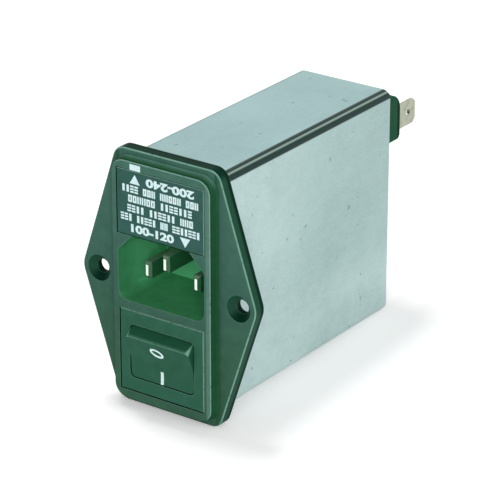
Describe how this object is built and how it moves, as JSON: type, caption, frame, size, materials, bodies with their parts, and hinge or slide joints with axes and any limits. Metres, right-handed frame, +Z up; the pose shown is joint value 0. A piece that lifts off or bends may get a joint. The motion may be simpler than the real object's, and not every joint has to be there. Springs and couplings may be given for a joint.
{
  "type": "power entry module",
  "caption": "Filtered mains inlet with reversible voltage-selecting fuse drawer and rocker switch, in a folded metal can behind a screw-on flange.",
  "frame": {"origin": "on the flange's back face, where it seats on the panel, half way between the two screw holes", "axes": "+X to the right seen from the front, +Y into the panel and along the can, +Z up"},
  "size_m": [0.0494, 0.0919, 0.064],
  "materials": {
    "housing_plastic": "satin moulded thermoplastic, dark green-grey",
    "drawer_plastic": "satin moulded thermoplastic",
    "rocker_plastic": "satin moulded thermoplastic",
    "plunger_plastic": "natural acetal",
    "block_plastic": "moulded thermoplastic",
    "pin_brass": "nickel plated brass",
    "tab_brass": "tinned brass strip",
    "contact_copper": "sprung copper alloy strip",
    "spring_steel": "spring wire",
    "can_steel": "tin plated steel sheet",
    "rivet_metal": "plain",
    "fuse_glass": "clear tube",
    "fuse_caps": "nickel plated cap",
    "fuse_wire": "fine wire",
    "tray_plastic": "natural insulating plastic",
    "board": "glass-fibre laminate",
    "ferrite": "coated ferrite",
    "winding_copper": "enamelled copper wire",
    "capacitor_case": "moulded case",
    "lead_insulation": "insulated copper lead",
    "resistor_coat": "lacquered body"
  },
  "bodies": {
    "housing": {"can_wrap": "can_steel", "choke_core": "ferrite", "discharge_resistor": "resistor_coat", "earth_lead": "lead_insulation", "earth_pin": "pin_brass", "earth_rivet": "rivet_metal", "earth_tab": "tab_brass", "filter_board": "board", "filter_tray": "tray_plastic", "front_housing": "housing_plastic", "front_winding": "winding_copper", "front_y_capacitor": "capacitor_case", "left_common_terminal": "tab_brass", "left_filter_lead": "lead_insulation", "left_fixed_terminal": "tab_brass", "left_fuse_contact_front": "contact_copper", "left_fuse_contact_rear": "contact_copper", "left_fuse_lead": "lead_insulation", "left_pin": "pin_brass", "lower_selector_blades": "contact_copper", "output_lead_1": "lead_insulation", "output_lead_2": "lead_insulation", "output_lead_3": "lead_insulation", "output_lead_4": "lead_insulation", "output_tab_1": "tab_brass", "output_tab_2": "tab_brass", "output_tab_3": "tab_brass", "output_tab_4": "tab_brass", "rear_cover": "can_steel", "rear_winding": "winding_copper", "rear_y_capacitor": "capacitor_case", "right_common_terminal": "tab_brass", "right_filter_lead": "lead_insulation", "right_fixed_terminal": "tab_brass", "right_fuse_contact_front": "contact_copper", "right_fuse_contact_rear": "contact_copper", "right_fuse_lead": "lead_insulation", "right_pin": "pin_brass", "switch_body": "housing_plastic", "terminal_block": "block_plastic", "upper_selector_blades": "contact_copper", "x_capacitor": "capacitor_case"},
    "drawer": {"fuse_drawer": "drawer_plastic", "selector_bridge": "contact_copper", "left_fuse_tube": "fuse_glass", "left_fuse_caps": "fuse_caps", "left_fuse_wire": "fuse_wire", "right_fuse_tube": "fuse_glass", "right_fuse_caps": "fuse_caps", "right_fuse_wire": "fuse_wire"},
    "rocker": {"rocker": "rocker_plastic", "left_plunger": "plunger_plastic", "left_plunger_spring": "spring_steel", "right_plunger": "plunger_plastic", "right_plunger_spring": "spring_steel"},
    "contact_levers": {"left_contact_lever": "contact_copper", "right_contact_lever": "contact_copper"}
  },
  "joints": [
    {"name": "drawer_slide", "type": "slide", "parent": "housing", "child": "drawer", "axis": [0, -1, 0], "range_m": [0, 0.0295]},
    {"name": "rocker_pivot", "type": "hinge", "parent": "housing", "child": "rocker", "pos_m": [0, -0.0018, -0.01725], "axis": [-1, 0, 0], "range_deg": [0, 23]},
    {"name": "lever_pivot", "type": "hinge", "parent": "housing", "child": "contact_levers", "pos_m": [0, 0.00785, -0.01725], "axis": [1, 0, 0], "range_deg": [0, 14]}
  ],
  "couplings": [
    {"joint": "lever_pivot", "follows": "rocker_pivot", "ratio": 0.6086}
  ]
}
